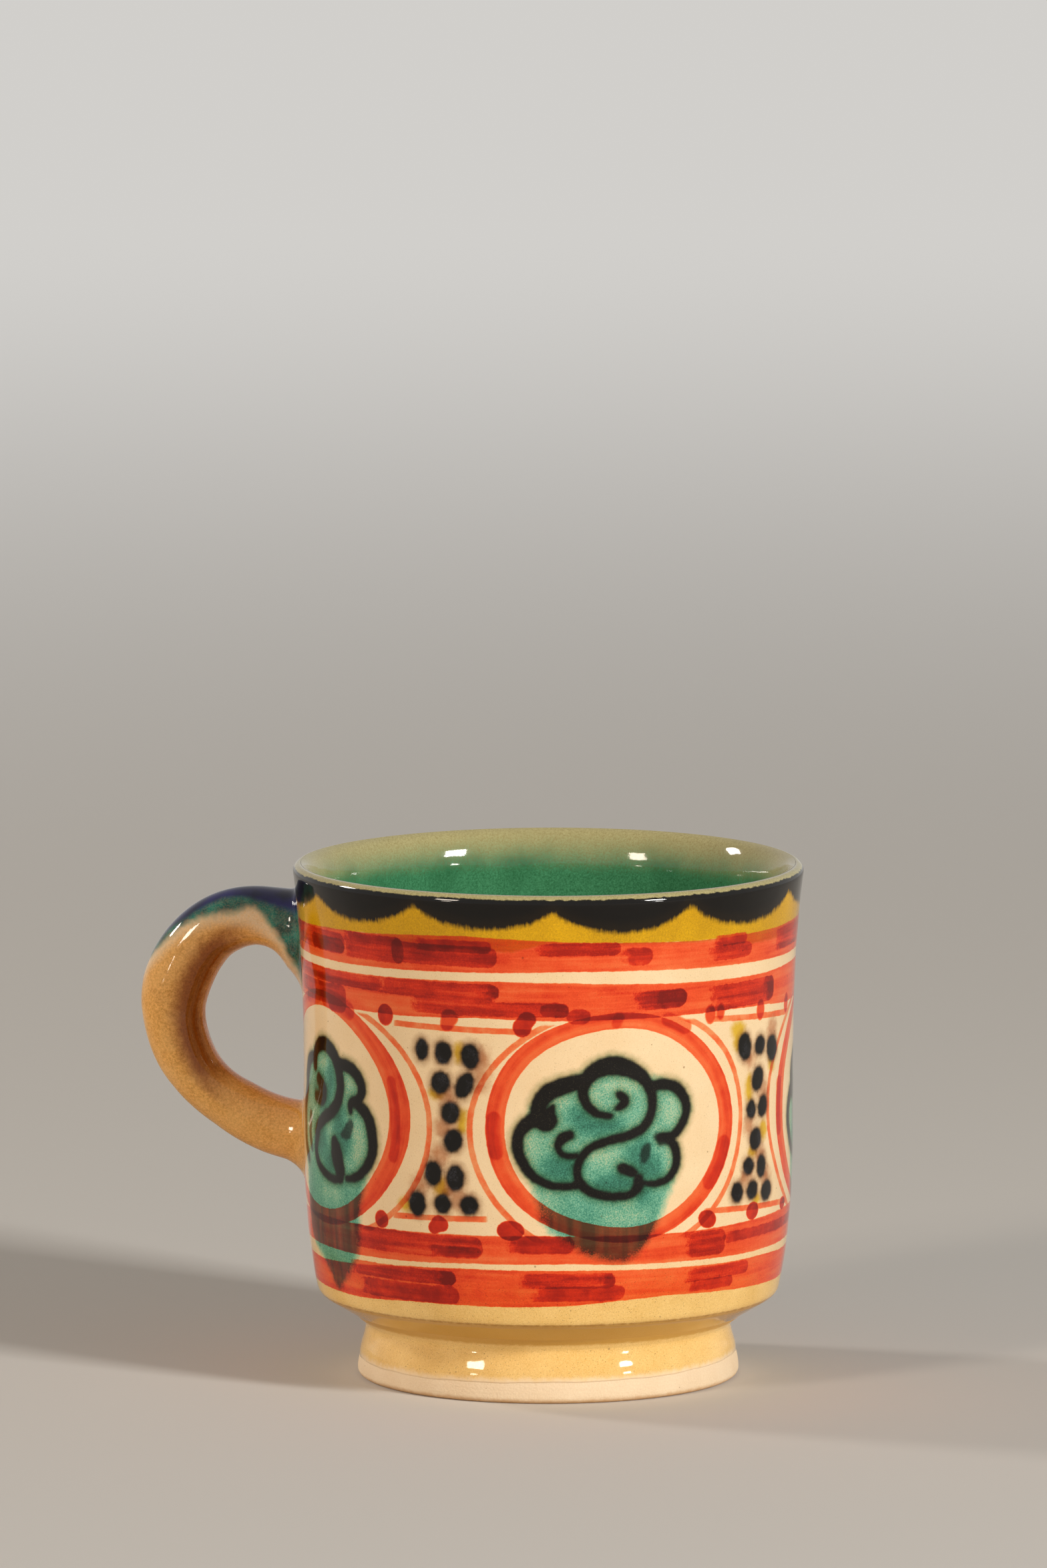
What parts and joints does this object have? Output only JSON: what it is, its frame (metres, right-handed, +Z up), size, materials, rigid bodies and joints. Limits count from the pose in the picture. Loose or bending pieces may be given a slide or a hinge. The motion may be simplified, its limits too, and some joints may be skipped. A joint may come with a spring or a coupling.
{
  "type": "clay mug",
  "caption": "Glazed clay mug with a rolled lip, a round pulled loop handle and a flared hollow foot, for hot or cold drinks.",
  "frame": {"origin": "centre of the ring on which the foot stands, on the table plane", "axes": "+Z up along the axis of the cup, -X towards the handle, +Y completes a right-handed frame"},
  "size_m": [0.1127, 0.086, 0.087],
  "materials": {
    "clay": "cream earthenware body under the glaze",
    "foot_clay": "bare pale clay, matt and slightly sandy",
    "slip": "luting slip, matt",
    "handle_clay": "tan earthenware body under the glaze",
    "green_glaze": "glossy green liner glaze with fine speckle, fading to beige at the lip",
    "painted_glaze": "glossy clear glaze over red, yellow, black and turquoise brushwork on cream",
    "honey_glaze": "glossy honey glaze, blue and teal over the crown"
  },
  "bodies": {
    "root": {"cup": "clay", "foot_ring": "foot_clay", "foot_slip": "slip", "handle": "handle_clay", "upper_slip": "slip", "lower_slip": "slip", "liner_glaze": "green_glaze", "outer_glaze": "painted_glaze", "handle_glaze": "honey_glaze"}
  },
  "joints": []
}
